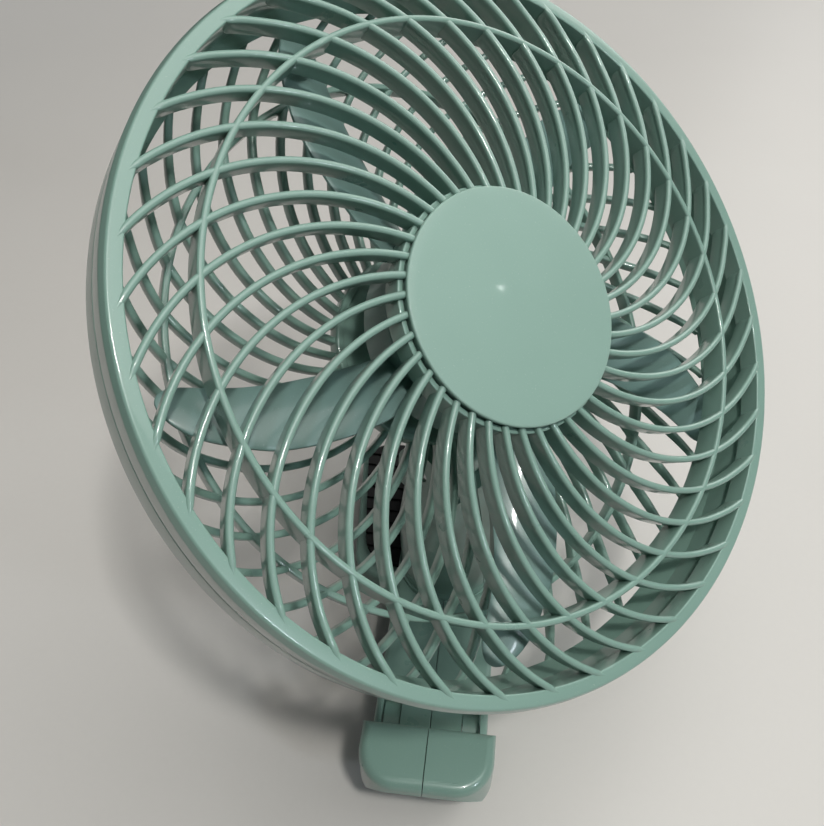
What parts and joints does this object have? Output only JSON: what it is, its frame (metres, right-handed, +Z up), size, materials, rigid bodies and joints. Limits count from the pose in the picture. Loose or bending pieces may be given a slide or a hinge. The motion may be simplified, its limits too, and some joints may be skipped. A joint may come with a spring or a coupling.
{
  "type": "clip fan",
  "caption": "Round table fan with a spiral grille on a tilting, swivelling neck, standing on its own sprung clip with a flared rubber-lined jaw.",
  "frame": {"origin": "on the table, at the sole's underside, under the neck's swivel axis", "axes": "+Z up, -Y towards the clip's thumb end, +Y towards the jaws' mouth, +X to the right seen from the thumb end"},
  "size_m": [0.1735, 0.1837, 0.2156],
  "materials": {
    "shell": "glossy sage green moulded plastic",
    "cap": "satin sage green moulded plastic",
    "blades": "smooth green moulded plastic",
    "pad": "matte black rubber with grooves",
    "sole": "matte dark rubber",
    "steel": "plated steel",
    "spring_steel": "drawn spring steel wire",
    "magnet": "ferrite",
    "bronze": "sintered bronze",
    "winding": "enamelled wire on a laminated core",
    "dark_plastic": "matte dark plastic",
    "board": "lacquered board",
    "cell": "foil pouch",
    "lens": "clear light guide"
  },
  "bodies": {
    "clip_base": {"clip_lower_arm": "shell", "lower_jaw_pad": "pad", "rubber_sole": "sole", "clip_pin": "steel", "clip_spring": "spring_steel"},
    "base_housing": {"base_shell_left": "shell", "base_shell_right": "shell", "upper_jaw_pad": "pad", "battery_cell": "cell", "circuit_board": "board", "charging_port": "steel", "switch_board": "board", "indicator_lens": "lens", "base_screws": "steel"},
    "button": {"power_button": "cap"},
    "neck": {"neck_shell_left": "shell", "neck_shell_right": "shell", "swivel_ring": "dark_plastic", "tilt_pin": "steel", "tilt_washers": "dark_plastic", "neck_screws": "steel"},
    "fan_head": {"front_grille": "shell", "centre_cap": "cap", "rear_grille": "shell", "motor_cover": "shell", "motor_can": "steel", "motor_magnets": "magnet", "motor_end_bell": "dark_plastic", "motor_bushes": "bronze", "cover_screws": "steel"},
    "rotor": {"fan_blades": "blades", "motor_shaft": "steel", "motor_armature": "winding", "blade_nut": "dark_plastic"}
  },
  "joints": [
    {"name": "clip_hinge", "type": "hinge", "parent": "clip_base", "child": "base_housing", "pos_m": [0, -0.0575, 0.015], "axis": [1, 0, 0], "range_deg": [0, 25], "stiffness_Nm_per_rad": 1, "springref_deg": -57.3, "deforming": ["clip_spring"]},
    {"name": "neck_swivel", "type": "hinge", "parent": "base_housing", "child": "neck", "pos_m": [0, 0, 0.026], "axis": [0, 0, 1], "range_deg": [-170, 68]},
    {"name": "head_tilt", "type": "hinge", "parent": "neck", "child": "fan_head", "pos_m": [0, 0, 0.0861], "axis": [-0.6184, -0.7859, 0], "range_deg": [-30, 43]},
    {"name": "fan_spin", "type": "hinge", "parent": "fan_head", "child": "rotor", "pos_m": [0.01129, -0.00888, 0.14932], "axis": [0.54, -0.4249, 0.7266], "continuous": true},
    {"name": "button_press", "type": "slide", "parent": "base_housing", "child": "button", "axis": [0, 0, -1], "range_m": [0, 0.001], "stiffness_N_per_m": 600, "springref_m": -0.001}
  ]
}
